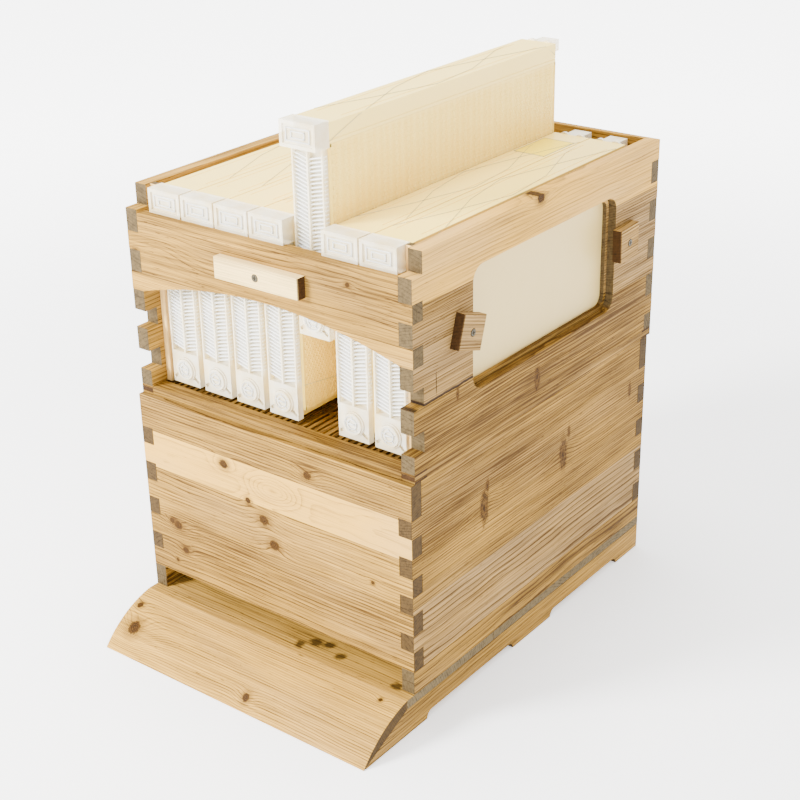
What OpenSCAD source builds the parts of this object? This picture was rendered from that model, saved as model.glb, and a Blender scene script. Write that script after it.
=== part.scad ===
// Stacked box hive with seven harvest frames, bottom board and grille.
// Millimetres, +Z up, front (entrance) faces -Y, window side is +X,
// z = 0 is the underside of the feet.

/* [Boxes] */
// outside width of every box
box_w = 413; // [360:1:520]
// outside length of every box
box_l = 508; // [420:1:620]
// thickness of the box boards
board_t = 18; // [15:0.5:25]
// set-back of the grille and upper box on the stack
set_back = 7; // [0:0.5:12]

/* [Bottom board] */
// height of the runners
runner_h = 35; // [25:1:60]
// width of each runner
runner_w = 20; // [15:1:40]
// thickness of the floor planks
floor_t = 12; // [8:0.5:20]
// height of the rails that carry the lower box
rail_h = 30; // [15:1:40]
// floor in front of the lower box
floor_lip = 14; // [5:1:30]
// length of the sloped landing board
landing_l = 81; // [50:1:120]
// radius of the landing board's rounded top
landing_r = 131; // [110:1:400]
// height of the cut-outs between the feet
foot_cut = 9; // [4:0.5:20]

/* [Grille] */
// thickness of the grille frame
grille_h = 11; // [8:0.5:16]
// width of the grille frame's front and back strips
grille_rim = 22; // [15:1:40]
// slat width
slat_w = 4.7; // [3:0.1:8]
// clear gap between slats
slat_gap = 4.3; // [4.1:0.1:4.5]
// number of slats
slat_n = 41; // [30:1:46]

/* [Upper box] */
// top of the bridge board below the box rim
bridge_drop = 29; // [20:1:40]
// rise of the arch under the bridge board
arch_rise = 28; // [10:1:50]
// depth of the ledge that carries the rear lugs
lug_ledge = 17; // [12:0.5:25]

/* [Window] */
// length of the shutter rebate
win_l = 299; // [200:1:360]
// height of the shutter rebate
win_h = 146; // [80:1:170]
// corner radius of the shutter rebate
win_r = 18; // [8:1:30]
// depth of the shutter rebate
win_d = 10.5; // [6:0.5:13]
// width of the step inside the rebate
win_step = 5; // [3:0.5:12]
// thickness of the clear pane
pane_t = 2; // [1.5:0.5:4]

/* [Turn buttons] */
// thickness of the turn buttons
button_t = 12; // [8:0.5:16]
// rest angle of the front window button
button_turn_a = -18; // [-45:1:45]
// rest angle of the rear window button
button_turn_b = 2; // [-45:1:45]

/* [Harvest frames] */
// spacing of the frames
frame_pitch = 51.5; // [50:0.5:53]
// sideways shift of the row of frames
frame_shift = 0.5; // [-1:0.5:1]
// width of one frame over the comb
comb_w = 50.5; // [40:0.5:52]
// width of the clear end plates
plate_w = 43; // [36:0.5:48]
// which frame stands raised
raised_frame = 5; // [1:1:7]
// how far that frame is raised
raise_h = 111; // [0:1:200]

/* [Hidden] */
$fn = 48;
eps = 0.01;
hw = box_w / 2;
hl = box_l / 2;
in_x = hw - board_t;
floor_z = runner_h;
rail_z = floor_z + floor_t;
brood_z = rail_z + rail_h;
brood_segs = [43, 22.5, 25.5, 25, 24, 23, 27, 22, 26];
super_segs = [25, 28, 22, 27, 23, 26, 22, 29, 25, 21];
function total(v, i = 0) = i < len(v) ? v[i] + total(v, i + 1) : 0;
function below(v, n, i = 0) = i < n ? v[i] + below(v, n, i + 1) : 0;
brood_h = total(brood_segs);
super_h = total(super_segs);
grille_z = brood_z + brood_h;
super_z = grille_z + grille_h;
rim_z = super_z + super_h;
front_y = -hl + set_back;
back_y = hl + set_back;
win_y = 10.5;
win_z = rim_z - 118;
bridge_z = rim_z - bridge_drop;
bridge_low = rim_z - below(super_segs, 5);
plate_y = front_y + 25;
comb_y = plate_y + 9;
comb_end = back_y - 39;
comb_z = super_z + 14;
bar_z = rim_z - 25;
drain_z = super_z + 23;
seat_gap = 0.05;

function frame_x(i) = frame_shift + frame_pitch * (i - 4);
function frame_up(i) = i == raised_frame ? raise_h : 0;

// ---------- bottom board ----------

module runner_profile() {
  slope = runner_h / landing_l;
  nose = hl + floor_lip + landing_l - 4;
  difference() {
    polygon([
      [-nose, 0], [hl, 0], [hl, runner_h],
      [-hl - floor_lip, runner_h], [-nose, 4 * slope]
    ]);
    for (c = [[-230, -52], [34, 198]]) {
      translate([c[0] + foot_cut, -1])
        square([c[1] - c[0] - 2 * foot_cut, foot_cut + 1]);
      for (y = [c[0] + foot_cut, c[1] - foot_cut])
        translate([y, 0]) circle(r = foot_cut);
    }
  }
}

module along_x(x0, w) {
  translate([x0, 0, 0])
    rotate([90, 0, 90]) linear_extrude(height = w) children();
}

module runner_left() {
  color([0.78, 0.62, 0.42]) along_x(-hw, runner_w) runner_profile();
}

module runner_right() {
  color([0.78, 0.62, 0.42]) along_x(hw - runner_w, runner_w) runner_profile();
}

module floor_plank(y0, y1) {
  color([0.80, 0.66, 0.46])
    translate([-hw, y0, floor_z]) cube([box_w, y1 - y0, floor_t]);
}

module rail_side(x0) {
  color([0.82, 0.68, 0.48])
    translate([x0, -hl, rail_z]) cube([board_t, box_l, rail_h]);
}

module rail_left() { rail_side(-hw); }

module rail_right() { rail_side(in_x); }

module rail_rear() {
  color([0.82, 0.68, 0.48])
    translate([-in_x, hl - board_t, rail_z]) cube([2 * in_x, board_t, rail_h]);
}

// wedge with a rounded top, flat underside on the sloped runner noses
module landing_board() {
  y0 = -hl - floor_lip;
  y1 = y0 - landing_l;
  z0 = floor_z + floor_t;
  chord = sqrt(pow(landing_l, 2) + pow(z0, 2));
  back = sqrt(pow(landing_r, 2) - pow(chord / 2, 2));
  cy = (y0 + y1) / 2 + back * z0 / chord;
  cz = z0 / 2 - back * landing_l / chord;
  color([0.86, 0.72, 0.52]) along_x(-hw, box_w) intersection() {
    polygon([[y0, z0 + 20], [y0, floor_z], [y1, 0], [y1, z0 + 20]]);
    translate([cy, cz]) circle(r = landing_r, $fn = 96);
  }
}

// ---------- finger-jointed boards ----------

// blocks cut from a board end; odd picks every second step from the top
module end_blocks(segs, odd, z_top, x0, y0, w, d) {
  for (i = [0 : len(segs) - 1])
    if (i % 2 == odd)
      translate([x0, y0, z_top - below(segs, i + 1)]) cube([w, d, segs[i]]);
}

module side_board(x0, y0, z0, segs, front_odd, back_odd) {
  h = total(segs);
  difference() {
    translate([x0, y0, z0]) cube([board_t, box_l, h]);
    end_blocks(segs, front_odd, z0 + h, x0 - 1, y0 - 1, board_t + 2, board_t + 1);
    end_blocks(segs, back_odd, z0 + h, x0 - 1, y0 + box_l - board_t,
               board_t + 2, board_t + 1);
  }
}

module end_board(y0, z0, segs, cut_odd) {
  h = total(segs);
  difference() {
    translate([-hw, y0, z0]) cube([box_w, board_t, h]);
    for (x = [-hw - 1, in_x])
      end_blocks(segs, cut_odd, z0 + h, x, y0 - 1, board_t + 1, board_t + 2);
  }
}

module brood_front() {
  color([0.87, 0.73, 0.52]) difference() {
    end_board(-hl, brood_z, brood_segs, 1);
    translate([-in_x, -hl + board_t - 10, grille_z - 18])
      cube([2 * in_x, 11, 19]);
  }
}

module brood_back() {
  color([0.85, 0.70, 0.48]) difference() {
    end_board(hl - board_t, brood_z, brood_segs, 1);
    translate([-in_x, hl - board_t - 1, grille_z - 18])
      cube([2 * in_x, 11, 19]);
  }
}

module brood_left() {
  color([0.84, 0.69, 0.48]) side_board(-hw, -hl, brood_z, brood_segs, 0, 0);
}

module brood_right() {
  color([0.82, 0.67, 0.44]) side_board(in_x, -hl, brood_z, brood_segs, 0, 0);
}

// ---------- grille between the boxes ----------

tongue_z = grille_z + 2.5;
tongue_h = 6;

module grille_end(y0) {
  color([0.74, 0.60, 0.38]) difference() {
    translate([-hw, y0, grille_z]) cube([box_w, grille_rim, grille_h]);
    for (x = [-hw - 1, in_x])
      translate([x, y0 - 1, tongue_z])
        cube([board_t + 1, grille_rim + 2, tongue_h]);
  }
}

module grille_front() { grille_end(front_y); }

module grille_back() { grille_end(back_y - grille_rim); }

module grille_side(x0) {
  color([0.72, 0.58, 0.36]) union() {
    translate([x0, front_y + grille_rim, grille_z])
      cube([board_t, box_l - 2 * grille_rim, grille_h]);
    translate([x0, front_y, tongue_z]) cube([board_t, box_l, tongue_h]);
  }
}

module grille_left() { grille_side(-hw); }

module grille_right() { grille_side(in_x); }

module grille_slats() {
  pitch = slat_w + slat_gap;
  y0 = front_y + grille_rim;
  len_y = box_l - 2 * grille_rim;
  color([0.80, 0.66, 0.44]) union() {
    for (i = [0 : slat_n - 1])
      translate([(i - (slat_n - 1) / 2) * pitch - slat_w / 2, y0, grille_z + 4])
        cube([slat_w, len_y, 5]);
    for (k = [-182, -61, 61, 182])
      translate([-in_x, set_back + k - 3, grille_z + 4]) cube([2 * in_x, 6, 5]);
  }
}

// ---------- upper box ----------

module screw_bore(d) {
  cylinder(h = 60, d = d, center = true);
}

module bridge_board() {
  half = in_x;
  r = (pow(half, 2) + pow(arch_rise, 2)) / (2 * arch_rise);
  color([0.88, 0.70, 0.46]) difference() {
    translate([-hw, front_y, bridge_low]) cube([box_w, board_t, bridge_z - bridge_low]);
    for (x = [-hw - 1, in_x]) {
      translate([x, front_y - 1, rim_z - below(super_segs, 2)])
        cube([board_t + 1, board_t + 2, 40]);
      translate([x, front_y - 1, rim_z - below(super_segs, 4)])
        cube([board_t + 1, board_t + 2, super_segs[3]]);
    }
    intersection() {
      translate([0, front_y - 1, bridge_low + arch_rise - r])
        rotate([-90, 0, 0]) cylinder(h = board_t + 2, r = r, $fn = 200);
      translate([-in_x, front_y - 2, bridge_low - 1])
        cube([2 * in_x, board_t + 4, arch_rise + 5]);
    }
    translate([cleat_x, front_y, cleat_z]) rotate([90, 0, 0]) screw_bore(4);
  }
}

module super_back() {
  color([0.84, 0.68, 0.46]) difference() {
    end_board(back_y - board_t, super_z, super_segs, 0);
    translate([-in_x, back_y - board_t - 1, rim_z - lug_ledge])
      cube([2 * in_x, 11, lug_ledge + 1]);
  }
}

module super_left() {
  color([0.86, 0.71, 0.50]) side_board(-hw, front_y, super_z, super_segs, 0, 1);
}

// rounded slab used for the window cuts, thickness along X
module window_slab(x0, x1, l, h, r) {
  translate([x0, win_y, win_z]) rotate([90, 0, 90])
    linear_extrude(height = x1 - x0) union() {
      square([l - 2 * r, h], center = true);
      square([l, h - 2 * r], center = true);
      for (a = [-1, 1]) for (b = [-1, 1])
        translate([a * (l / 2 - r), b * (h / 2 - r)]) circle(r = r);
    }
}

module super_right() {
  l2 = win_l - 2 * win_step;
  h2 = win_h - 2 * win_step;
  r2 = win_r - win_step;
  color([0.85, 0.68, 0.44]) difference() {
    side_board(in_x, front_y, super_z, super_segs, 0, 1);
    window_slab(hw - win_d, hw + 1, win_l, win_h, win_r);
    window_slab(in_x - 1, hw, l2, h2, r2);
    window_slab(in_x - 1, in_x + pane_t, l2 + 8, h2 + 8, r2 + 4);
    for (b = [button_a, button_b])
      translate([hw, b[0], b[1]]) rotate([0, 90, 0]) screw_bore(4);
  }
}

module window_pane() {
  color([0.95, 0.92, 0.80, 0.5])
    window_slab(in_x, in_x + pane_t,
                win_l - 2 * win_step + 7.6, win_h - 2 * win_step + 7.6,
                win_r - win_step + 4);
}

batten_w = 8;

module batten(x0) {
  color([0.95, 0.86, 0.68])
    translate([x0, plate_y, super_z]) cube([batten_w, 8, super_h]);
}

module batten_left() { batten(-in_x); }

module batten_right() { batten(in_x - batten_w); }

// ---------- turn buttons ----------

cleat_x = 2;
cleat_z = rim_z - 64;
button_a = [-156, rim_z - 111];
button_b = [176, rim_z - 107];

// flat button with softened corners, screw axis along Z through the origin
module button_body(l, w) {
  c = 1.2;
  difference() {
    intersection() {
      translate([-l / 2, -w / 2, 0]) cube([l, w, button_t]);
      rotate([90, 0, 0]) translate([0, 0, -w / 2]) linear_extrude(height = w)
        polygon([
          [-l / 2, -1], [l / 2, -1], [l / 2, button_t - c],
          [l / 2 - c, button_t], [-l / 2 + c, button_t], [-l / 2, button_t - c]
        ]);
    }
    translate([0, 0, -1]) cylinder(h = button_t + 2, d = 4.8);
    translate([0, 0, button_t - 2.2]) cylinder(h = 4, d = 9.2);
  }
}

// round-head screw with a cross recess, axis along Z, underside on z = 0
module screw_body() {
  reach = button_t - 2.2 + 14;
  difference() {
    union() {
      translate([0, 0, 0.3]) cylinder(h = 2.3, d = 8);
      translate([0, 0, -reach]) cylinder(h = reach + 0.5, d = 4);
    }
    for (a = [0, 90]) rotate([0, 0, a])
      translate([-2.6, -0.5, 1.4]) cube([5.2, 1, 3]);
  }
}

module on_bridge(lift) {
  translate([cleat_x, front_y - lift, cleat_z]) rotate([90, 0, 0]) children();
}

module on_side(p, turn, lift) {
  translate([hw + lift, p[0], p[1]]) rotate([turn, 0, 0])
    rotate([90, 0, 90]) children();
}

module cleat() {
  color([0.96, 0.88, 0.68]) on_bridge(seat_gap) button_body(123, 25);
}

module button_front() {
  color([0.84, 0.70, 0.50]) on_side(button_a, button_turn_a, seat_gap)
    button_body(43, 40);
}

module button_rear() {
  color([0.84, 0.70, 0.50]) on_side(button_b, button_turn_b, seat_gap)
    button_body(43, 41);
}

module cleat_screw() {
  color([0.45, 0.42, 0.36]) on_bridge(button_t - 2.2 + seat_gap) screw_body();
}

module button_front_screw() {
  color([0.45, 0.42, 0.36])
    on_side(button_a, 0, button_t - 2.2 + seat_gap) screw_body();
}

module button_rear_screw() {
  color([0.45, 0.42, 0.36])
    on_side(button_b, 0, button_t - 2.2 + seat_gap) screw_body();
}

// ---------- harvest frames ----------

module at_frame(i) {
  translate([frame_x(i), 0, frame_up(i)]) children();
}

// clear front channel with its lug, drain socket and the rear plate
module ends(i) {
  hp = plate_w / 2;
  foot = super_z + 3;
  color([0.94, 0.95, 0.93, 0.6]) at_frame(i) union() {
    difference() {
      translate([-hp, plate_y, foot]) cube([plate_w, 9, bridge_z - foot]);
      for (s = [-1, 1])
        translate([s > 0 ? 1.1 : -hp + 2, plate_y - 1, drain_z + 21])
          cube([hp - 3.1, 8, bridge_z - drain_z - 23]);
      translate([0, plate_y - 1, drain_z]) rotate([-90, 0, 0])
        cylinder(h = 8, d = 20.8);
      for (s = [-1, 1]) translate([0, plate_y - 1, drain_z])
        rotate([0, s * 125, 0]) translate([-2, 0, 15]) cube([4, 4, 9]);
    }
    translate([0, plate_y, drain_z]) rotate([-90, 0, 0]) difference() {
      translate([0, 0, -1.5]) cylinder(h = 4, d = 30);
      translate([0, 0, -2]) cylinder(h = 6, d = 27);
    }
    difference() {
      translate([-24.5, front_y + 11, bridge_z]) cube([49, 23, bridge_drop]);
      translate([-20.5, front_y + 10, bridge_z + 4])
        cube([41, 3, bridge_drop - 8]);
    }
    translate([-hp, comb_end, super_z + 9]) cube([plate_w, 4, rim_z - super_z - 17]);
    for (x = [-11, 11]) translate([x, comb_end, rim_z - 8])
      rotate([-90, 0, 0]) cylinder(h = 4, r = 8);
    translate([-12, comb_end, rim_z - lug_ledge]) cube([24, 28, 14]);
  }
}

// cream comb block: upright strips with fine joints between them
module comb(i) {
  n = 40;
  step = (comb_end - comb_y) / n;
  h2 = comb_w / 2;
  g = 0.8;
  right = [for (k = [0 : n - 1], p = [
    [h2 - g, k * step], [h2 - g, k * step + 0.5],
    [h2, k * step + 0.5], [h2, (k + 1) * step - 0.5],
    [h2 - g, (k + 1) * step - 0.5]]) p];
  left = [for (k = [n - 1 : -1 : 0], p = [
    [-h2 + g, (k + 1) * step], [-h2 + g, (k + 1) * step - 0.5],
    [-h2, (k + 1) * step - 0.5], [-h2, k * step + 0.5],
    [-h2 + g, k * step + 0.5]]) p];
  color([0.96, 0.90, 0.74]) at_frame(i) union() {
    translate([0, comb_y, comb_z]) linear_extrude(height = bar_z - comb_z)
      polygon(concat(right, [[h2 - g, n * step]], left, [[-h2 + g, 0]]));
    translate([-16, comb_y, super_z + 3])
      cube([32, comb_end - comb_y, comb_z - super_z - 3 + eps]);
  }
}

module top_bar(i) {
  color([0.97, 0.92, 0.78]) at_frame(i) difference() {
    translate([-25, comb_y, bar_z]) cube([50, comb_end - comb_y, 23]);
    for (x = [-17, 16])
      translate([x, comb_y + 30, bar_z + 22.2])
        cube([1, comb_end - comb_y - 60, 2]);
    translate([-26, comb_y - 1, bar_z + 4])
      cube([1.6, comb_end - comb_y + 2, 1]);
    translate([24.4, comb_y - 1, bar_z + 4])
      cube([1.6, comb_end - comb_y + 2, 1]);
  }
}

module drain_cap(i) {
  color([0.93, 0.94, 0.92, 0.7]) at_frame(i)
    translate([0, plate_y - seat_gap, drain_z]) rotate([90, 0, 0])
      difference() {
        union() {
          cylinder(h = 3.5, d = 26);
          translate([0, 0, -6]) cylinder(h = 6.5, d = 20);
        }
        translate([0, 0, 2]) cylinder(h = 3, d = 21);
        translate([0, 0, -7]) cylinder(h = 7.5, d = 16);
      }
}

p1 = -hl - floor_lip;

// moves the stack so that the origin is the middle of its footprint
module place() {
  reach = button_t + 0.4 + seat_gap;
  translate([-reach / 2, (landing_l + floor_lip - set_back) / 2, 0]) children();
}

place() runner_left();
place() runner_right();
place() floor_plank(p1, -95);  // floor_plank_1
place() floor_plank(-95, 80);  // floor_plank_2
place() floor_plank(80, hl);  // floor_plank_3
place() rail_left();
place() rail_right();
place() rail_rear();
place() landing_board();
place() brood_front();
place() brood_back();
place() brood_left();
place() brood_right();
place() grille_front();
place() grille_back();
place() grille_left();
place() grille_right();
place() grille_slats();
place() bridge_board();
place() super_back();
place() super_left();
place() super_right();
place() batten_left();
place() batten_right();
place() window_pane();
place() cleat();
place() button_front();
place() button_rear();
place() cleat_screw();
place() button_front_screw();
place() button_rear_screw();
place() ends(1);  // ends_1
place() ends(2);  // ends_2
place() ends(3);  // ends_3
place() ends(4);  // ends_4
place() ends(5);  // ends_5
place() ends(6);  // ends_6
place() ends(7);  // ends_7
place() comb(1);  // comb_1
place() comb(2);  // comb_2
place() comb(3);  // comb_3
place() comb(4);  // comb_4
place() comb(5);  // comb_5
place() comb(6);  // comb_6
place() comb(7);  // comb_7
place() top_bar(1);  // top_bar_1
place() top_bar(2);  // top_bar_2
place() top_bar(3);  // top_bar_3
place() top_bar(4);  // top_bar_4
place() top_bar(5);  // top_bar_5
place() top_bar(6);  // top_bar_6
place() top_bar(7);  // top_bar_7
place() drain_cap(1);  // drain_cap_1
place() drain_cap(2);  // drain_cap_2
place() drain_cap(3);  // drain_cap_3
place() drain_cap(4);  // drain_cap_4
place() drain_cap(5);  // drain_cap_5
place() drain_cap(6);  // drain_cap_6
place() drain_cap(7);  // drain_cap_7
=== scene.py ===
"""Looks of the stacked box hive: solid woods, clear frame ends, cream comb, wires, screws and soft lamps."""
import math

import bpy
from mathutils import Matrix, Vector


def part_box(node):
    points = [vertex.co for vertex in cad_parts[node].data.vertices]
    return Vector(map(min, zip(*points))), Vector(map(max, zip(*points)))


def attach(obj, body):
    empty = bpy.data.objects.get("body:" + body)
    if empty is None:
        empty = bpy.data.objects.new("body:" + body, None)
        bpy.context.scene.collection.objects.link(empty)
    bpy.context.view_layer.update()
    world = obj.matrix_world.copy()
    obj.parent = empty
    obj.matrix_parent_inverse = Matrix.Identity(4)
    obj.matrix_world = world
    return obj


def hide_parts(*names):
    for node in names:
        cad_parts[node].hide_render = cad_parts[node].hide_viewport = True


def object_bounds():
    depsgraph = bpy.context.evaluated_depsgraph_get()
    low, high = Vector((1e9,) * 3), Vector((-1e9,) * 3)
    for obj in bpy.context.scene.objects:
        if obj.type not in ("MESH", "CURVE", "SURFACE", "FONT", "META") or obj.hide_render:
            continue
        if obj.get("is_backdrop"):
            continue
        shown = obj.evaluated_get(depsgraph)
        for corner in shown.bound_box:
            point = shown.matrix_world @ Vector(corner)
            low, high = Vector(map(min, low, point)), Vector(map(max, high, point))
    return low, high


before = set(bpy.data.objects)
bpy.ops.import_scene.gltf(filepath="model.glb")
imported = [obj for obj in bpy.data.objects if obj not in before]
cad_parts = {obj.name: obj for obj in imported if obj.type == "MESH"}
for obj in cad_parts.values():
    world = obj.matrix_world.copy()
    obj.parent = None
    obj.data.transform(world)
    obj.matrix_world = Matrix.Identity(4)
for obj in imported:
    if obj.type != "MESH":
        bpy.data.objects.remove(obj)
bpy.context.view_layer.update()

MM = 0.001
FRAMES = range(1, 8)

# middle of the lower box in plan, which every place below is measured from
lower_lo, lower_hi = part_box("brood_left")[0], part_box("brood_right")[1]
MID = Vector(((lower_lo.x + lower_hi.x) / 2, (lower_lo.y + lower_hi.y) / 2, 0))


def srgb(r, g, b):
    """Linear colour of a screen colour."""
    lin = [c / 12.92 if c < 0.04045 else ((c + 0.055) / 1.055) ** 2.4 for c in (r, g, b)]
    return (*lin, 1.0)


# ---------- shader graphs ----------


class Graph:
    """A material's nodes, with short names for the steps used below."""

    def __init__(self, name):
        self.material = bpy.data.materials.new(name)
        self.material.use_nodes = True
        self.tree = self.material.node_tree
        self.tree.nodes.clear()
        self.out = self.new("ShaderNodeOutputMaterial")
        self.bsdf = self.new("ShaderNodeBsdfPrincipled")
        self.link(self.bsdf.outputs[0], self.out.inputs[0])

    def new(self, kind):
        return self.tree.nodes.new(kind)

    def link(self, a, b):
        self.tree.links.new(a, b)

    def put(self, socket, value):
        if isinstance(value, bpy.types.NodeSocket):
            self.link(value, socket)
        else:
            socket.default_value = value

    def math(self, op, a, b=None, clamp=False):
        n = self.new("ShaderNodeMath")
        n.operation, n.use_clamp = op, clamp
        self.put(n.inputs[0], a)
        if b is not None:
            self.put(n.inputs[1], b)
        return n.outputs[0]

    def add(self, a, b):
        return self.math("ADD", a, b)

    def sub(self, a, b):
        return self.math("SUBTRACT", a, b)

    def mul(self, a, b):
        return self.math("MULTIPLY", a, b)

    def vector(self, op, a, b=None, out=0):
        n = self.new("ShaderNodeVectorMath")
        n.operation = op
        self.put(n.inputs[0], a)
        if b is not None:
            self.put(n.inputs[1], b)
        return n.outputs[out]

    def split(self, v):
        n = self.new("ShaderNodeSeparateXYZ")
        self.put(n.inputs[0], v)
        return n.outputs[0], n.outputs[1], n.outputs[2]

    def join(self, x, y, z):
        n = self.new("ShaderNodeCombineXYZ")
        for socket, v in zip(n.inputs, (x, y, z)):
            self.put(socket, v)
        return n.outputs[0]

    def noise(self, v, detail=2.0, rough=0.5):
        n = self.new("ShaderNodeTexNoise")
        self.put(n.inputs["Vector"], v)
        self.put(n.inputs["Scale"], 1.0)
        self.put(n.inputs["Detail"], detail)
        self.put(n.inputs["Roughness"], rough)
        return n.outputs[0]

    def ramp(self, v, lo, hi, to_lo=0.0, to_hi=1.0):
        n = self.new("ShaderNodeMapRange")
        n.interpolation_type = "SMOOTHSTEP"
        for socket, x in zip(n.inputs, (v, lo, hi, to_lo, to_hi)):
            self.put(socket, x)
        return n.outputs[0]

    def mix(self, share, a, b, blend="MIX"):
        n = self.new("ShaderNodeMix")
        n.data_type, n.blend_type = "RGBA", blend
        self.put(n.inputs[0], share)
        self.put(n.inputs[6], a)
        self.put(n.inputs[7], b)
        return n.outputs[2]

    def steps(self, v, limits, values):
        """values[0] below the first limit, values[1] above it, and so on."""
        found = values[0]
        for limit, low, high in zip(limits, values, values[1:]):
            if high != low:
                above = self.math("GREATER_THAN", v, limit)
                found = self.add(self.mul(above, high - low), found)
        return found

    def place(self):
        """Object coordinates in millimetres about the lower box's middle, and the object normal."""
        n = self.new("ShaderNodeTexCoord")
        scaled = self.vector("MULTIPLY", n.outputs["Object"], (1 / MM,) * 3)
        return self.vector("SUBTRACT", scaled, tuple(MID / MM)), n.outputs["Normal"]

    def finish(self, colour, rough, height=None, depth=0.0002, strength=0.4):
        self.put(self.bsdf.inputs["Base Color"], colour)
        self.put(self.bsdf.inputs["Roughness"], rough)
        if height is not None:
            n = self.new("ShaderNodeBump")
            self.put(n.inputs["Strength"], strength)
            self.put(n.inputs["Distance"], depth)
            self.put(n.inputs["Height"], height)
            self.link(n.outputs[0], self.bsdf.inputs["Normal"])
        return self.material


LIGHT, DARK = srgb(0.81, 0.62, 0.26), srgb(0.27, 0.18, 0.06)
PINK = srgb(0.74, 0.60, 0.38)
END_LIGHT, END_DARK = srgb(0.34, 0.28, 0.18), srgb(0.13, 0.10, 0.05)
KNOT, KNOT_DARK = srgb(0.31, 0.20, 0.05), srgb(0.09, 0.055, 0.012)
STAIN = srgb(0.13, 0.08, 0.02)
AXES = {"X": (0, 2, 1), "XY": (0, 1, 2), "Y": (1, 2, 0), "Z": (2, 0, 1)}


def plank(top, pith, depth, tone=0.0, ring=4.0, line=0.8, pink=0.0):
    """One glued-up plank: its upper limit, and where its tree's centre lay across and behind the face.
    tone darkens it, ring is the rings' spacing, line their strength, pink its step away from golden."""
    return dict(top=top, pith=pith, depth=depth, tone=tone, ring=ring, line=line, pink=pink)


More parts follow.
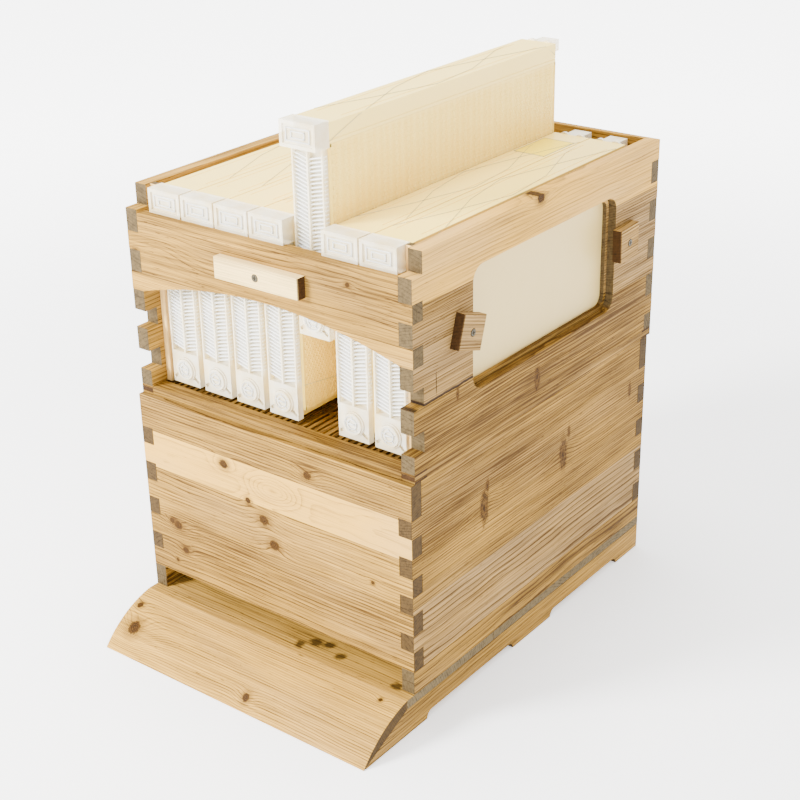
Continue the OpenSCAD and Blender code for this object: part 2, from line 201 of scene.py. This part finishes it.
def wood(name, along, planks, knots=(), eyes=(), flames=(), stains=(), gaps=(), seed=0.0, sway=6.0,
         end_light=END_LIGHT, end_dark=END_DARK, turn=None, light=LIGHT, cracks=()):
    """Solid wood cut from trees: rings round a pith line that runs along the grain, bent by knots and noise.
    knots: (along, across, radius). eyes: (along, across, radius, push).
    flames: (along, across, half height) of side branches cut lengthways. stains: (x, y, z, radius).
    gaps: (across, half width, from, to) of open joints.
    cracks: (along, from, to, half width) across the grain.
    turn: (y, z, angle) of a board turned about X."""
    g = Graph(name)
    p, normal = g.place()
    if turn:
        for part in ("p", "normal"):
            n = g.new("ShaderNodeVectorRotate")
            n.rotation_type = "X_AXIS"
            g.put(n.inputs["Vector"], p if part == "p" else normal)
            g.put(n.inputs["Center"], (0, turn[0], turn[1]) if part == "p" else (0, 0, 0))
            g.put(n.inputs["Angle"], -turn[2])
            if part == "p":
                p = n.outputs[0]
            else:
                normal = n.outputs[0]
    xyz, nrm = g.split(p), g.split(normal)
    a, u, v = (xyz[k] for k in AXES[along])
    facing_end = g.math("ABSOLUTE", nrm[AXES[along][0]])
    limits = [k["top"] for k in planks[:-1]]

    def of(key):
        return g.steps(u, limits, [k[key] for k in planks])

    pith, depth, tone, ring, line, pink = (of(k) for k in ("pith", "depth", "tone", "ring", "line", "pink"))
    shift = g.steps(u, limits, [seed + 7.3 * k for k in range(len(planks))])

    def field(ka, kc, offset, detail=2.0):
        return g.noise(g.join(g.add(g.mul(a, ka), shift), g.add(g.mul(u, kc), offset), g.mul(v, kc)), detail)

    slow = g.mul(g.sub(field(0.0045, 0.012, 3.1), 0.5), 2.4 * sway)
    side = g.mul(g.sub(field(0.0055, 0.010, 9.7), 0.5), 2.0 * sway)
    wobble = g.mul(g.sub(field(0.022, 0.09, 5.3), 0.5), 1.8)
    du = g.add(g.sub(u, pith), slow)
    dv = g.add(g.sub(v, depth), side)
    radius = g.math("SQRT", g.add(g.mul(du, du), g.mul(dv, dv)))
    radius = g.add(radius, wobble)

    def spot(k_a, k_u, size, stretch):
        la, lu = g.mul(g.sub(a, k_a), 1 / (size * stretch)), g.mul(g.sub(u, k_u), 1 / size)
        return g.add(g.mul(la, la), g.mul(lu, lu))

    for ka, ku, size in knots:
        near = g.math("POWER", 2.718, g.mul(spot(ka, ku, size * 2.0, 1.7), -1.0))
        radius = g.add(radius, g.mul(near, size * 1.3))
    for ka, ku, size, push in eyes:
        near = g.math("POWER", 2.718, g.mul(spot(ka, ku, size, 2.4), -1.0))
        radius = g.add(radius, g.mul(near, push))

    count = g.math("DIVIDE", radius, ring)
    f = g.math("FRACT", count)
    late = g.mul(g.math("POWER", f, 5.0), g.ramp(f, 0.93, 0.998, 1.0, 0.0))
    n = g.new("ShaderNodeTexWhiteNoise")
    n.noise_dimensions = "1D"
    g.put(n.inputs["W"], g.math("FLOOR", count))
    varied = g.mul(late, g.add(g.mul(n.outputs[0], 0.9), 0.35))
    fibre = field(0.012, 1.0, 2.2, 3.0)
    pores = field(0.005, 0.28, 6.6, 3.0)
    blotch = field(0.006, 0.022, 8.8)
    share = g.add(g.mul(varied, line), tone)
    share = g.add(share, g.mul(g.sub(fibre, 0.5), 1.1))
    share = g.add(share, g.mul(g.sub(pores, 0.5), 0.7))
    flecks = g.noise(g.join(g.mul(a, 0.07), g.mul(u, 0.8), g.mul(v, 0.8)), 2.0)
    share = g.add(share, g.mul(g.ramp(flecks, 0.64, 0.76), 0.4))
    share = g.math("ADD", share, g.mul(g.sub(blotch, 0.45), 0.55), clamp=True)
    greyer = g.math("ADD", pink, g.mul(g.sub(field(0.004, 0.016, 12.4), 0.5), 1.8), clamp=True)
    base = g.mix(greyer, light, PINK)
    colour = g.mix(share, base, DARK)

    # end grain: rings as arcs, dark open pores
    grain = g.noise(g.vector("MULTIPLY", p, (0.9, 0.9, 0.9)), 2.0)
    coarse = g.mul(g.sub(g.noise(g.vector("MULTIPLY", p, (0.22, 0.22, 0.22)), 3.0, 0.6), 0.5), 1.6)
    mottle = g.add(coarse, g.mul(g.sub(grain, 0.35), 0.9))
    ends = g.mix(g.math("ADD", g.mul(varied, 0.8), mottle, clamp=True), end_light, end_dark)
    colour = g.mix(g.ramp(facing_end, 0.45, 0.8), colour, ends)

    height = g.add(g.mul(fibre, 0.6), g.mul(late, 0.5))
    for ka, ku, size in knots:
        ragged = g.mul(g.sub(g.noise(g.vector("MULTIPLY", p, (0.35,) * 3), 2.0), 0.5), 0.7)
        d = g.add(g.math("SQRT", spot(ka, ku, size, 1.15)), ragged)
        inside = g.ramp(d, 1.05, 0.75)
        rings = g.math("FRACT", g.mul(d, 3.2))
        knot = g.mix(rings, KNOT, KNOT_DARK)
        halo = g.mul(g.ramp(d, 2.3, 1.0), 0.45)
        colour = g.mix(halo, colour, KNOT)
        colour = g.mix(g.mul(inside, g.ramp(facing_end, 0.6, 0.3)), colour, knot)
    for ka, ku, size in flames:
        ragged = g.mul(g.sub(g.noise(g.vector("MULTIPLY", p, (0.16,) * 3), 4.0, 0.65), 0.5), 2.2)
        d = g.add(g.math("SQRT", spot(ka, ku, size, 0.36)), ragged)
        colour = g.mix(g.mul(g.ramp(d, 1.7, 0.7), 0.8), colour, KNOT)
        colour = g.mix(g.mul(g.ramp(g.math("ABSOLUTE", g.sub(d, 0.8)), 0.2, 0.0), 0.8), colour, KNOT_DARK)
        colour = g.mix(g.mul(g.ramp(d, 0.5, 0.1), 0.75), colour, KNOT_DARK)
    for sx, sy, sz, size in stains:
        d = g.mul(g.vector("DISTANCE", p, (sx, sy, sz), out=1), 1 / size)
        ragged = g.sub(g.noise(g.vector("MULTIPLY", p, (0.06, 0.12, 0.12)), 4.0, 0.65), 0.5)
        patchy = g.add(d, g.mul(ragged, 1.6))
        colour = g.mix(g.mul(g.ramp(patchy, 0.95, 0.35), 0.85), colour, STAIN)
    for limit in limits:
        near = g.math("ABSOLUTE", g.sub(u, limit))
        joint = g.mul(g.ramp(near, 0.8, 0.2), 0.6)
        colour = g.mix(joint, colour, STAIN)
        height = g.sub(height, g.mul(joint, 2.5))
    splits = [(a, u, *k) for k in gaps] + [(u, a, k[0], k[3], k[1], k[2]) for k in cracks]
    for run, cross, middle, half, start, end in splits:
        uneven = g.mul(g.sub(g.noise(g.join(g.mul(run, 0.05), seed, 0.0), 3.0), 0.5), 3.0 * half)
        near = g.math("ABSOLUTE", g.sub(g.add(cross, uneven), middle))
        within = g.mul(g.ramp(run, start - 6, start + 2), g.ramp(run, end + 6, end - 2))
        gap = g.mul(g.ramp(near, 1.5 * half, 0.7 * half), within)
        colour = g.mix(g.mul(gap, 0.92), colour, srgb(0.13, 0.08, 0.04))
        height = g.sub(height, g.mul(gap, 6.0))
    g.put(g.bsdf.inputs["Specular IOR Level"], 0.06)
    return g.finish(colour, g.ramp(fibre, 0.3, 0.7, 0.5, 0.68), height)


def dress(material, *nodes):
    for n in nodes:
        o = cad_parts[n]
        o.data.materials.clear()
        o.data.materials.append(material)


def soften(width, *nodes):
    """Rounds the arrises of boards: faces are joined up first, so that the rounding is even."""
    for n in nodes:
        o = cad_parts[n]
        for poly in o.data.polygons:
            poly.use_smooth = True
        if o.data.has_custom_normals:
            with bpy.context.temp_override(object=o, active_object=o, selected_objects=[o]):
                bpy.ops.mesh.customdata_custom_splitnormals_clear()
        weld = o.modifiers.new("weld", "WELD")
        weld.merge_threshold = 0.00002
        flat = o.modifiers.new("flat", "DECIMATE")
        flat.decimate_type, flat.angle_limit = "DISSOLVE", math.radians(0.3)
        round_off = o.modifiers.new("round", "BEVEL")
        round_off.width, round_off.segments = width * MM, 2
        round_off.limit_method, round_off.angle_limit = "ANGLE", math.radians(32)
        round_off.harden_normals = True


# ---------- woods ----------

END_GREY = dict(end_light=srgb(0.42, 0.36, 0.25), end_dark=srgb(0.15, 0.12, 0.07))
END_BROWN = dict(end_light=srgb(0.29, 0.22, 0.12), end_dark=srgb(0.10, 0.07, 0.03))
END_BURNT = dict(end_light=srgb(0.24, 0.16, 0.08), end_dark=srgb(0.10, 0.07, 0.03))

dress(wood("wood_brood_front", "X", [
    plank(157, 22, -205, 0.62, 4.2, 0.9),
    plank(220, 330, -150, 0.52, 3.6, 0.9),
    plank(270, 243, -170, -0.06, 3.0, 0.8, 0.1),
    plank(400, 120, -190, 0.60, 3.4, 0.9)],
    knots=[(-71.5, 259, 6), (-35.5, 222, 4), (-11.6, 203, 7), (2.7, 174, 7), (-158, 148, 6.5), (-168, 151, 4),
           (-148, 115, 5), (59, 284, 5.5), (150, 176, 2.5), (-164, 96, 2.5)],
    eyes=[(3, 246, 16, 20)], seed=1.0, **END_BROWN), "brood_front")
dress(wood("wood_brood_right", "Y", [
    plank(158, 55, 150, 0.48, 6.0, 1.1, 0.9),
    plank(400, 500, 120, 0.64, 3.4, 1.0)],
    eyes=[(52, 236, 16, 9), (-117, 236, 16, 9)],
    flames=[(54, 226, 20), (-116, 228, 19), (66, 252, 8), (-110, 254, 8), (214, 252, 9)],
    seed=2.0, **END_BROWN), "brood_right")
dress(wood("wood_brood_left", "Y", [
    plank(180, 60, -150, 0.46, 5.0, 1.0), plank(400, 420, -150, 0.60, 4.0, 0.9)],
    knots=[(-90, 130, 5), (120, 250, 4)], seed=3.0, **END_BROWN), "brood_left")
dress(wood("wood_brood_back", "X", [
    plank(150, 300, 200, 0.55, 4.2, 0.9), plank(235, 190, 190, 0.25, 4.4, 0.9), plank(400, 20, 180, 0.5)],
    knots=[(80, 190, 6), (-120, 120, 5)], seed=4.0, **END_BROWN), "brood_back")
dress(wood("wood_bridge", "X", [
    plank(471, 300, -200, 0.42, 3.6, 0.5),
    plank(700, 620, -150, 0.62, 4.2, 0.5)],
    knots=[(-196, 497, 4), (122, 525, 3)], eyes=[(-160, 508, 20, 12)], seed=5.0), "bridge_board")
dress(wood("wood_super_right", "Y", [
    plank(402, 120, 150, 0.72, 4.4, 0.9),
    plank(515, 760, 120, 0.58, 3.2, 0.9, 0.8),
    plank(700, 330, 150, 0.06, 4.4, 0.9, 0.2)],
    knots=[(-8, 571, 7)], flames=[(-9, 352, 14), (-168, 392, 7)], gaps=[(402.5, 1.5, -255, -120)],
    cracks=[(-207, 410, 430, 0.7)], seed=6.0), "super_right")
dress(wood("wood_super_left", "Y", [
    plank(440, 250, -120, 0.5, 4.5, 0.8), plank(700, 700, -150, 0.42, 4.0, 0.7)], seed=7.0), "super_left")
dress(wood("wood_super_back", "X", [
    plank(410, 300, 190, 0.52, 4.5, 0.9), plank(500, 455, 200, 0.3, 4.0, 0.9, 0.4),
    plank(700, 640, 190, 0.46)],
    knots=[(-60, 450, 5), (110, 530, 4)], seed=8.0), "super_back")
dress(wood("wood_landing", "XY", [plank(900, -560, -120, 0.28, 3.0, 1.0)],
    knots=[(-181, -322, 8), (20, -337, 4.5), (178, -281, 2.6), (-195, -296, 4)], eyes=[(-180, -322, 18, 12)],
    stains=[(48, -262, 47, 11), (78, -264, 46, 8)], seed=9.0, sway=5.0, **END_BROWN), "landing_board")
dress(wood("wood_floor", "XY", [
    plank(-95, -470, -60, 0.44, 3.8, 0.9), plank(80, 0, -70, 0.5), plank(900, 170, -60, 0.5)],
    stains=[(47, -236, 47, 12), (64, -234, 47, 11), (90, -244, 47, 10), (180, -252, 47, 11),
            (33, -252, 47, 10)],
    seed=10.0, sway=5.0, **END_GREY), "floor_plank_1", "floor_plank_2", "floor_plank_3")
dress(wood("wood_rails", "Y", [plank(62, 20, 120, 0.6, 4.0, 0.9), plank(400, 160, 60, 0.62, 4.0, 0.9)],
    seed=11.0), "rail_left", "rail_right")
dress(wood("wood_rail_rear", "X", [plank(400, 0, 200, 0.58)], seed=12.0), "rail_rear")
dress(wood("wood_runners", "Y", [plank(400, 190, 90, 0.56, 4.0, 0.8)], seed=13.0, **END_BROWN),
      "runner_left", "runner_right")
dress(wood("wood_grille_ends", "X", [plank(900, 650, -180, 0.74, 3.4, 0.4)],
    seed=14.0, sway=4.0, **END_BURNT), "grille_front", "grille_back")
dress(wood("wood_grille_sides", "Y", [plank(900, 650, 120, 0.76, 3.4, 0.4)],
    seed=15.0, sway=4.0, **END_BURNT), "grille_left", "grille_right")
dress(wood("wood_slats", "Y", [plank(900, 700, 0, 0.82, 3.0, 0.4)], seed=16.0, sway=3.0), "grille_slats")
dress(wood("wood_battens", "Z", [plank(900, 360, -150, 0.12, 3.0, 0.6)], seed=17.0, sway=3.0,
    light=srgb(0.90, 0.74, 0.46)), "batten_left", "batten_right")
dress(wood("wood_cleat", "X", [plank(900, 790, -180, 0.10, 3.0, 0.5)], seed=18.0, sway=4.0,
    light=srgb(0.93, 0.80, 0.52), **END_BURNT), "cleat")
dress(wood("wood_button_front", "Y", [plank(900, 630, 170, 0.46, 3.4, 1.1, 0.7)], seed=19.0, sway=4.0,
    turn=(-156, 463, math.radians(-18)), **END_BURNT), "button_front")
dress(wood("wood_button_rear", "Y", [plank(900, 600, 170, 0.46, 3.4, 1.0, 0.7)], seed=20.0, sway=4.0,
    turn=(176, 467, math.radians(2)), **END_BURNT), "button_rear")

soften(0.7, "brood_front", "brood_back", "brood_left", "brood_right", "bridge_board",
       "super_back", "super_left", "super_right", "landing_board",
       "floor_plank_1", "floor_plank_2", "floor_plank_3", "rail_left", "rail_right", "rail_rear",
       "runner_left", "runner_right")
soften(0.5, "grille_front", "grille_back", "grille_left", "grille_right",
       "cleat", "button_front", "button_rear", "batten_left", "batten_right")

# ---------- plastics and metal ----------


def clear(name, body, pale, through, rough=0.2, milky=0.15, edge=0.7):
    """Clear moulding: some of what is behind shows, less where the surface turns away."""
    g = Graph(name)
    p, _ = g.place()
    cloud = g.noise(g.vector("MULTIPLY", p, (0.05,) * 3), 3.0)
    g.finish(g.mix(g.ramp(cloud, 0.3, 0.7), body, pale), rough,
             g.noise(g.vector("MULTIPLY", p, (0.25,) * 3), 2.0), 0.0002, 0.25)
    g.put(g.bsdf.inputs["Specular IOR Level"], 0.6)
    bare = g.new("ShaderNodeBsdfTransparent")
    mixed = g.new("ShaderNodeMixShader")
    facing = g.new("ShaderNodeLayerWeight")
    g.put(facing.inputs[0], 0.35)
    solid = g.add(g.mul(facing.outputs[1], edge), 1 - through)
    solid = g.math("ADD", solid, g.mul(g.sub(cloud, 0.5), milky), clamp=True)
    g.link(solid, mixed.inputs[0])
    g.link(bare.outputs[0], mixed.inputs[1])
    g.link(g.bsdf.outputs[0], mixed.inputs[2])
    g.link(mixed.outputs[0], g.out.inputs[0])
    return g.material


def cream(name, colour, shade, rough=0.42, painted_strip_shade=0.0):
    """Milky moulding, with faint upright bands of painted shade every 10.9 mm where its strips meet, standing
    in for the strips' alternating light and dark.
    """
    g = Graph(name)
    p, _ = g.place()
    cloud = g.noise(g.vector("MULTIPLY", p, (0.012,) * 3), 3.0)
    # painted shade: a darker band every 10.9 mm across the face, for the light and dark of the comb's strips
    strip_shade_band = g.math("SINE", g.mul(g.split(p)[1], math.tau / 10.9))
    share = g.math("ADD", g.ramp(cloud, 0.25, 0.75), g.mul(strip_shade_band, painted_strip_shade), clamp=True)
    g.put(g.bsdf.inputs["Specular IOR Level"], 0.35)
    return g.finish(g.mix(share, colour, shade), rough,
                    g.noise(g.vector("MULTIPLY", p, (0.4,) * 3), 2.0), 0.0001, 0.2)


def steel(name, colour, metal=1.0):
    g = Graph(name)
    p, _ = g.place()
    wear = g.noise(g.vector("MULTIPLY", p, (0.8,) * 3), 3.0)
    g.put(g.bsdf.inputs["Metallic"], metal)
    worn = g.mix(wear, colour, srgb(0.30, 0.27, 0.21))
    return g.finish(worn, g.ramp(wear, 0.3, 0.7, 0.3, 0.5), wear, 0.0001, 0.2)


CLEAR = clear("clear_ends", srgb(0.99, 0.92, 0.74), srgb(1.0, 0.97, 0.88), 0.55, milky=0.1, edge=0.5)
RIBS = clear("clear_ribs", srgb(1.0, 1.0, 0.97), srgb(1.0, 1.0, 1.0), 0.5, 0.15, 0.06, edge=0.5)
GRIPS = clear("clear_grips", srgb(0.84, 0.84, 0.82), srgb(0.92, 0.92, 0.90), 0.45, 0.12, 0.05, edge=0.6)
PANE = clear("clear_pane", srgb(0.88, 0.77, 0.48), srgb(0.885, 0.775, 0.49), 0.28, 0.38, 0.0, edge=0.1)
# the comb carries the painted shade bands of its strips
COMB = cream("cream_comb", srgb(0.99, 0.87, 0.45), srgb(0.97, 0.83, 0.38), painted_strip_shade=0.35)
BAR = cream("cream_bar", srgb(0.99, 0.87, 0.47), srgb(0.98, 0.86, 0.44), 0.3)
WIRE = steel("steel_wire", srgb(0.86, 0.85, 0.82))
SCREW = steel("steel_screw", srgb(0.24, 0.22, 0.16), 0.7)

dress(SCREW, "cleat_screw", "button_front_screw", "button_rear_screw")
dress(PANE, "window_pane")
dress(CLEAR, *(f"ends_{i}" for i in FRAMES), *(f"drain_cap_{i}" for i in FRAMES))
dress(BAR, *(f"top_bar_{i}" for i in FRAMES))
soften(0.5, *(f"ends_{i}" for i in FRAMES), *(f"top_bar_{i}" for i in FRAMES),
       *(f"drain_cap_{i}" for i in FRAMES))
soften(0.25, "cleat_screw", "button_front_screw", "button_rear_screw")

# ---------- frame details, built once about a frame's own middle ----------

# heights of a seated frame over the ground, in mm: feet, drain's middle, cells' lower edge, lugs
FEET_Z = 326.0
DRAIN_UP = 349
CELLS_UP = 340
LUG_LOW, LUG_HIGH = 545, 574
ends_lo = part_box("ends_1")[0]
comb_lo, comb_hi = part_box("comb_1")
bar_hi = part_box("top_bar_1")[1]
FOOT = ends_lo.z
HALF = (comb_hi.x - comb_lo.x) / 2
CELLS_ACROSS = 80
CELL_DEEP = 0.5


def mesh(name, verts, faces, material, smooth=False):
    m = bpy.data.meshes.new(name)
    m.from_pydata([tuple(v) for v in verts], [], faces)
    m.materials.append(material)
    m.polygons.foreach_set("use_smooth", [smooth] * len(faces))
    m.update()
    return m


class Build:
    """Collects boxes and rings of one piece, in millimetres."""

    def __init__(self):
        self.verts, self.faces = [], []

    def block(self, lo, hi, shear=0.0):
        """A box; shear lifts it in z by that much per mm of x."""
        n = len(self.verts)
        for z in (lo[2], hi[2]):
            for x, y in ((lo[0], lo[1]), (hi[0], lo[1]), (hi[0], hi[1]), (lo[0], hi[1])):
                self.verts.append((x, y, z + shear * x))
        self.faces += [(n, n + 3, n + 2, n + 1), (n + 4, n + 5, n + 6, n + 7), (n, n + 1, n + 5, n + 4),
                       (n + 1, n + 2, n + 6, n + 5), (n + 2, n + 3, n + 7, n + 6), (n + 3, n, n + 4, n + 7)]

    def ring(self, centre, r_in, r_out, y0, y1, sides=32):
        """A flat ring with its axis along Y."""
        n = len(self.verts)
        for k in range(sides):
            a = math.tau * k / sides
            for r, y in ((r_in, y0), (r_out, y0), (r_out, y1), (r_in, y1)):
                self.verts.append((centre[0] + r * math.cos(a), y, centre[2] + r * math.sin(a)))
        for k in range(sides):
            p, q = n + 4 * k, n + 4 * ((k + 1) % sides)
            for j in range(4):
                self.faces.append((p + j, q + j, q + (j + 1) % 4, p + (j + 1) % 4))

    def mesh(self, name, material, smooth=False):
        return mesh(name, [Vector(v) * MM for v in self.verts], self.faces, material, smooth)


def comb_mesh():
    """The comb block with hexagonal cells over both sides; each upright strip holds two columns of cells."""
    y0, y1 = (comb_lo.y - MID.y) / MM, (comb_hi.y - MID.y) / MM
    z0, z1 = CELLS_UP - FEET_Z, comb_hi.z / MM - FEET_Z
    half = HALF / MM
    b = Build()
    floor = half - CELL_DEEP
    b.block((-floor, y0, z0), (floor, y1, z1))
    b.block((-16, y0, comb_lo.z / MM - FEET_Z), (16, y1, z0 + 0.2))
    wide = (y1 - y0) / CELLS_ACROSS
    r = wide / math.sqrt(3)
    rows = int((z1 - z0 - 2 * r) / (1.5 * r))
    start = (z0 + z1) / 2 - (rows - 1) * 0.75 * r
    for side in (-1, 1):
        for lo, hi in (((y0, z0), (y1, z0 + 3.4)), ((y0, z1 - 3.4), (y1, z1)),
                       ((y0, z0), (y0 + 2.0, z1)), ((y1 - 2.0, z0), (y1, z1))):
            xs = sorted((side * (floor - 0.1), side * (half - 0.02)))
            b.block((xs[0], lo[0], lo[1]), (xs[1], hi[0], hi[1]))
        for row in range(rows):
            for col in range(CELLS_ACROSS - row % 2):
                cy = y0 + wide * (col + 0.5 + 0.5 * (row % 2))
                cz = start + row * 1.5 * r
                top = half - (0.16 if (col // 2) % 2 else 0.0)
                n = len(b.verts)
                for k in range(6):
                    t = math.radians(60 * k + 30)
                    b.verts.append((side * top, cy + r * math.cos(t), cz + r * math.sin(t)))
                    b.verts.append((side * floor, cy + 0.7 * r * math.cos(t), cz + 0.7 * r * math.sin(t)))
                for k in range(6):
                    p, q = n + 2 * k, n + 2 * ((k + 1) % 6)
                    b.faces.append((p, p + 1, q + 1, q) if side > 0 else (p, q, q + 1, p + 1))
    return b.mesh("comb_cells", COMB)


PLATE_Y = (ends_lo.y - MID.y) / MM + 14
PLATE_HALF = 21.5
DRAIN_Z = DRAIN_UP - FEET_Z


def ribs_mesh():
    """Herringbone ribs in the two tall pockets of the clear channel."""
    b = Build()
    pitch, lean = 4.5, math.tan(math.radians(15))
    low, high = DRAIN_Z + 23, LUG_LOW - FEET_Z - 4
    for side in (-1, 1):
        xs = sorted((side * 1.2, side * (PLATE_HALF + 0.6)))
        for k in range(int((high - low - 6) / pitch)):
            z = low + k * pitch
            b.block((xs[0], PLATE_Y + 2.5, z), (xs[1], PLATE_Y + 6.9, z + 1.5), side * lean)
    return b.mesh("ribs", RIBS)


def lug_mesh():
    """Nested frame in the recess of the front lug."""
    b = Build()
    y0, y1 = PLATE_Y - 14 + 0.5, PLATE_Y - 14 + 2.1
    zm = (LUG_LOW + LUG_HIGH) / 2 - FEET_Z
    for w, h in ((16.5, 7.5), (9.5, 4.0)):
        b.block((-w, y0, zm - h), (w, y1, zm - h + 1.1))
        b.block((-w, y0, zm + h - 1.1), (w, y1, zm + h))
        b.block((-w, y0, zm - h), (-w + 1.1, y1, zm + h))
        b.block((w - 1.1, y0, zm - h), (w, y1, zm + h))
    return b.mesh("lug_frame", GRIPS)


def grip_mesh():
    """Inner ring, cross bar and spokes in the face of a drain cap."""
    b = Build()
    y0, y1 = PLATE_Y - 3.5, PLATE_Y - 1.9
    b.ring((0, 0, DRAIN_Z), 5.4, 6.6, y0, y1)
    b.ring((0, 0, DRAIN_Z), 9.6, 10.4, y0 + 0.2, y1)
    for k in range(5):
        n = len(b.verts)
        b.block((6.2, y0 + 0.4, -0.5), (9.9, y1, 0.5))
        a = math.tau * k / 5 + 0.4
        for j in range(n, n + 8):
            x, y, z = b.verts[j]
            b.verts[j] = (x * math.cos(a) - z * math.sin(a), y, DRAIN_Z + x * math.sin(a) + z * math.cos(a))
    b.block((-5.8, y0 + 0.1, DRAIN_Z - 0.8), (5.8, y1, DRAIN_Z + 0.8))
    return b.mesh("cap_grip", GRIPS, True)


def wire(name, points, r=0.22, sides=6):
    """A thin taut steel wire through points in millimetres about a frame's middle."""
    verts, faces = [], []
    points = [Vector(p) for p in points]
    for k, p in enumerate(points):
        ahead = (points[min(k + 1, len(points) - 1)] - points[max(k - 1, 0)]).normalized()
        across = ahead.cross(Vector((1, 0, 0))).normalized()
        other = ahead.cross(across)
        for j in range(sides):
            t = math.tau * j / sides
            verts.append((p + (across * math.cos(t) + other * math.sin(t)) * r) * MM)
    for k in range(len(points) - 1):
        for j in range(sides):
            q = (j + 1) % sides
            faces.append((k * sides + j, k * sides + q, (k + 1) * sides + q, (k + 1) * sides + j))
    faces += [tuple(range(sides))[::-1], tuple(range(len(verts) - sides, len(verts)))]
    return mesh(name, verts, faces, WIRE, True)


top = bar_hi.z / MM - FEET_Z + 0.35
edge = HALF / MM + 0.2
wires = [
    wire("wire_a", [(edge, -214, top - 20), (edge, -165, top - 3), (24, -150, top), (-8, -60, top),
                    (-22, 20, top), (0, 110, top), (24.5, 200, top), (edge, 221, top - 14)]),
    wire("wire_b", [(-edge, -214, top - 20), (-24.5, -178, top), (-2, -110, top), (22, -20, top),
                    (14, 60, top), (-16, 150, top), (-24.5, 214, top - 1)]),
    wire("wire_c", [(edge, -214, 46), (edge, -100, 28), (edge, 60, 20), (edge, 221, 40)]),
]
shared = {"comb_cells": comb_mesh(), "ribs": ribs_mesh(), "lug_frame": lug_mesh(), "cap_grip": grip_mesh()}

for i in FRAMES:
    e_lo, e_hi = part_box(f"ends_{i}")
    origin = Vector(((e_lo.x + e_hi.x) / 2, MID.y, FEET_Z * MM + e_lo.z - FOOT))
    crossing = [(w.name, w) for w in wires if i > 3 or w.name != "wire_b"]
    for name, data in [*shared.items(), *crossing]:
        o = bpy.data.objects.new(f"{name}_{i}", data)
        bpy.context.scene.collection.objects.link(o)
        o.location = origin
        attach(o, f"cap_{i}" if name == "cap_grip" else f"frame_{i}")
        if name == "comb_cells":
            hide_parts(f"comb_{i}")

# blank label on one frame's top
g = Graph("label_paper")
p, _ = g.place()
g.put(g.bsdf.inputs["Specular IOR Level"], 0.3)
cloud = g.noise(g.vector("MULTIPLY", p, (0.06,) * 3), 3.0)
LABEL = g.finish(g.mix(cloud, srgb(0.95, 0.84, 0.16), srgb(0.94, 0.82, 0.14)), 0.5)
g = Graph("label_edge")
p, _ = g.place()
cloud = g.noise(g.vector("MULTIPLY", p, (0.2,) * 3), 2.0)
LABEL_EDGE = g.finish(g.mix(cloud, srgb(0.58, 0.55, 0.46), srgb(0.50, 0.48, 0.40)), 0.5)
e_lo, e_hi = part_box("ends_6")
origin = Vector(((e_lo.x + e_hi.x) / 2, MID.y, FEET_Z * MM))
z = bar_hi.z / MM - FEET_Z
paper, rim = Build(), Build()
paper.block((-21, 125, z), (21, 192, z + 0.18))
for lo, hi in (((-22, 124), (22, 125.2)), ((-22, 191.8), (22, 193)),
               ((-22, 124), (-20.8, 193)), ((20.8, 124), (22, 193))):
    rim.block((lo[0], lo[1], z), (hi[0], hi[1], z + 0.24))
for name, build, material in (("label", paper, LABEL), ("label_rim", rim, LABEL_EDGE)):
    o = bpy.data.objects.new(name, build.mesh(name, material))
    bpy.context.scene.collection.objects.link(o)
    o.location = origin
    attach(o, "frame_6")

# ---------- floor, lamps and camera ----------

g = Graph("floor_paper")
p, _ = g.place()
cloud = g.noise(g.vector("MULTIPLY", p, (0.004,) * 3), 2.0)
FLOOR = g.finish(g.mix(cloud, srgb(0.99, 0.99, 0.99), srgb(0.98, 0.98, 0.98)), 0.9)
g.put(g.bsdf.inputs["Emission Color"], (1, 1, 1, 1))
# the paper glows brighter outwards and fades again far off, so that it meets the world's tone at the horizon
away = g.vector("LENGTH", p, out=1)
g.put(g.bsdf.inputs["Emission Strength"],
      g.mul(g.ramp(away, 700, 2600, 0.7, 4.0), g.ramp(away, 4300, 16000, 1.0, 0.0)))
corners = [(-40, -40, 0), (40, -40, 0), (40, 40, 0), (-40, 40, 0)]
floor = bpy.data.objects.new("floor", mesh("floor", corners, [(0, 1, 2, 3)], FLOOR))
bpy.context.scene.collection.objects.link(floor)
floor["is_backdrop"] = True

world = bpy.data.worlds.new("studio")
world.use_nodes = True
sky = world.node_tree.nodes["Background"]
sky.inputs["Color"].default_value = (1.0, 0.995, 0.985, 1)
sky.inputs["Strength"].default_value = 2.2
bpy.context.scene.world = world


def lamp(name, place, aim, size, power, colour=(1, 1, 1)):
    data = bpy.data.lights.new(name, "AREA")
    data.shape, data.size, data.energy, data.color = "DISK", size, power, colour
    o = bpy.data.objects.new(name, data)
    o.location = place
    o.rotation_euler = (Vector(aim) - Vector(place)).to_track_quat("-Z", "Y").to_euler()
    bpy.context.scene.collection.objects.link(o)
    o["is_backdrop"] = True


lamp("key", (-1.6, -2.6, 1.8), (0, 0, 0.3), 1.1, 390)
lamp("top", (-0.2, 0.2, 3.0), (0, 0, 0.4), 1.4, 110)

CAMERA, AIM, ROLL, LENS = (1.0963, -1.3768, 1.1121), (-0.0176, 0.0538, 0.2572), -1.17, 70.61
data = bpy.data.cameras.new("camera")
data.lens, data.sensor_width = LENS, 36
data.clip_start, data.clip_end = 0.05, 100
camera = bpy.data.objects.new("camera", data)
ahead = (Vector(AIM) - Vector(CAMERA)).normalized()
right = ahead.cross(Vector((0, 0, 1))).normalized()
up = right.cross(ahead)
c, s = math.cos(math.radians(ROLL)), math.sin(math.radians(ROLL))
right, up = right * c + up * s, up * c - right * s
camera.matrix_world = Matrix((right, up, -ahead)).transposed().to_4x4()
camera.location = CAMERA
bpy.context.scene.collection.objects.link(camera)
bpy.context.scene.camera = camera

lo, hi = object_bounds()
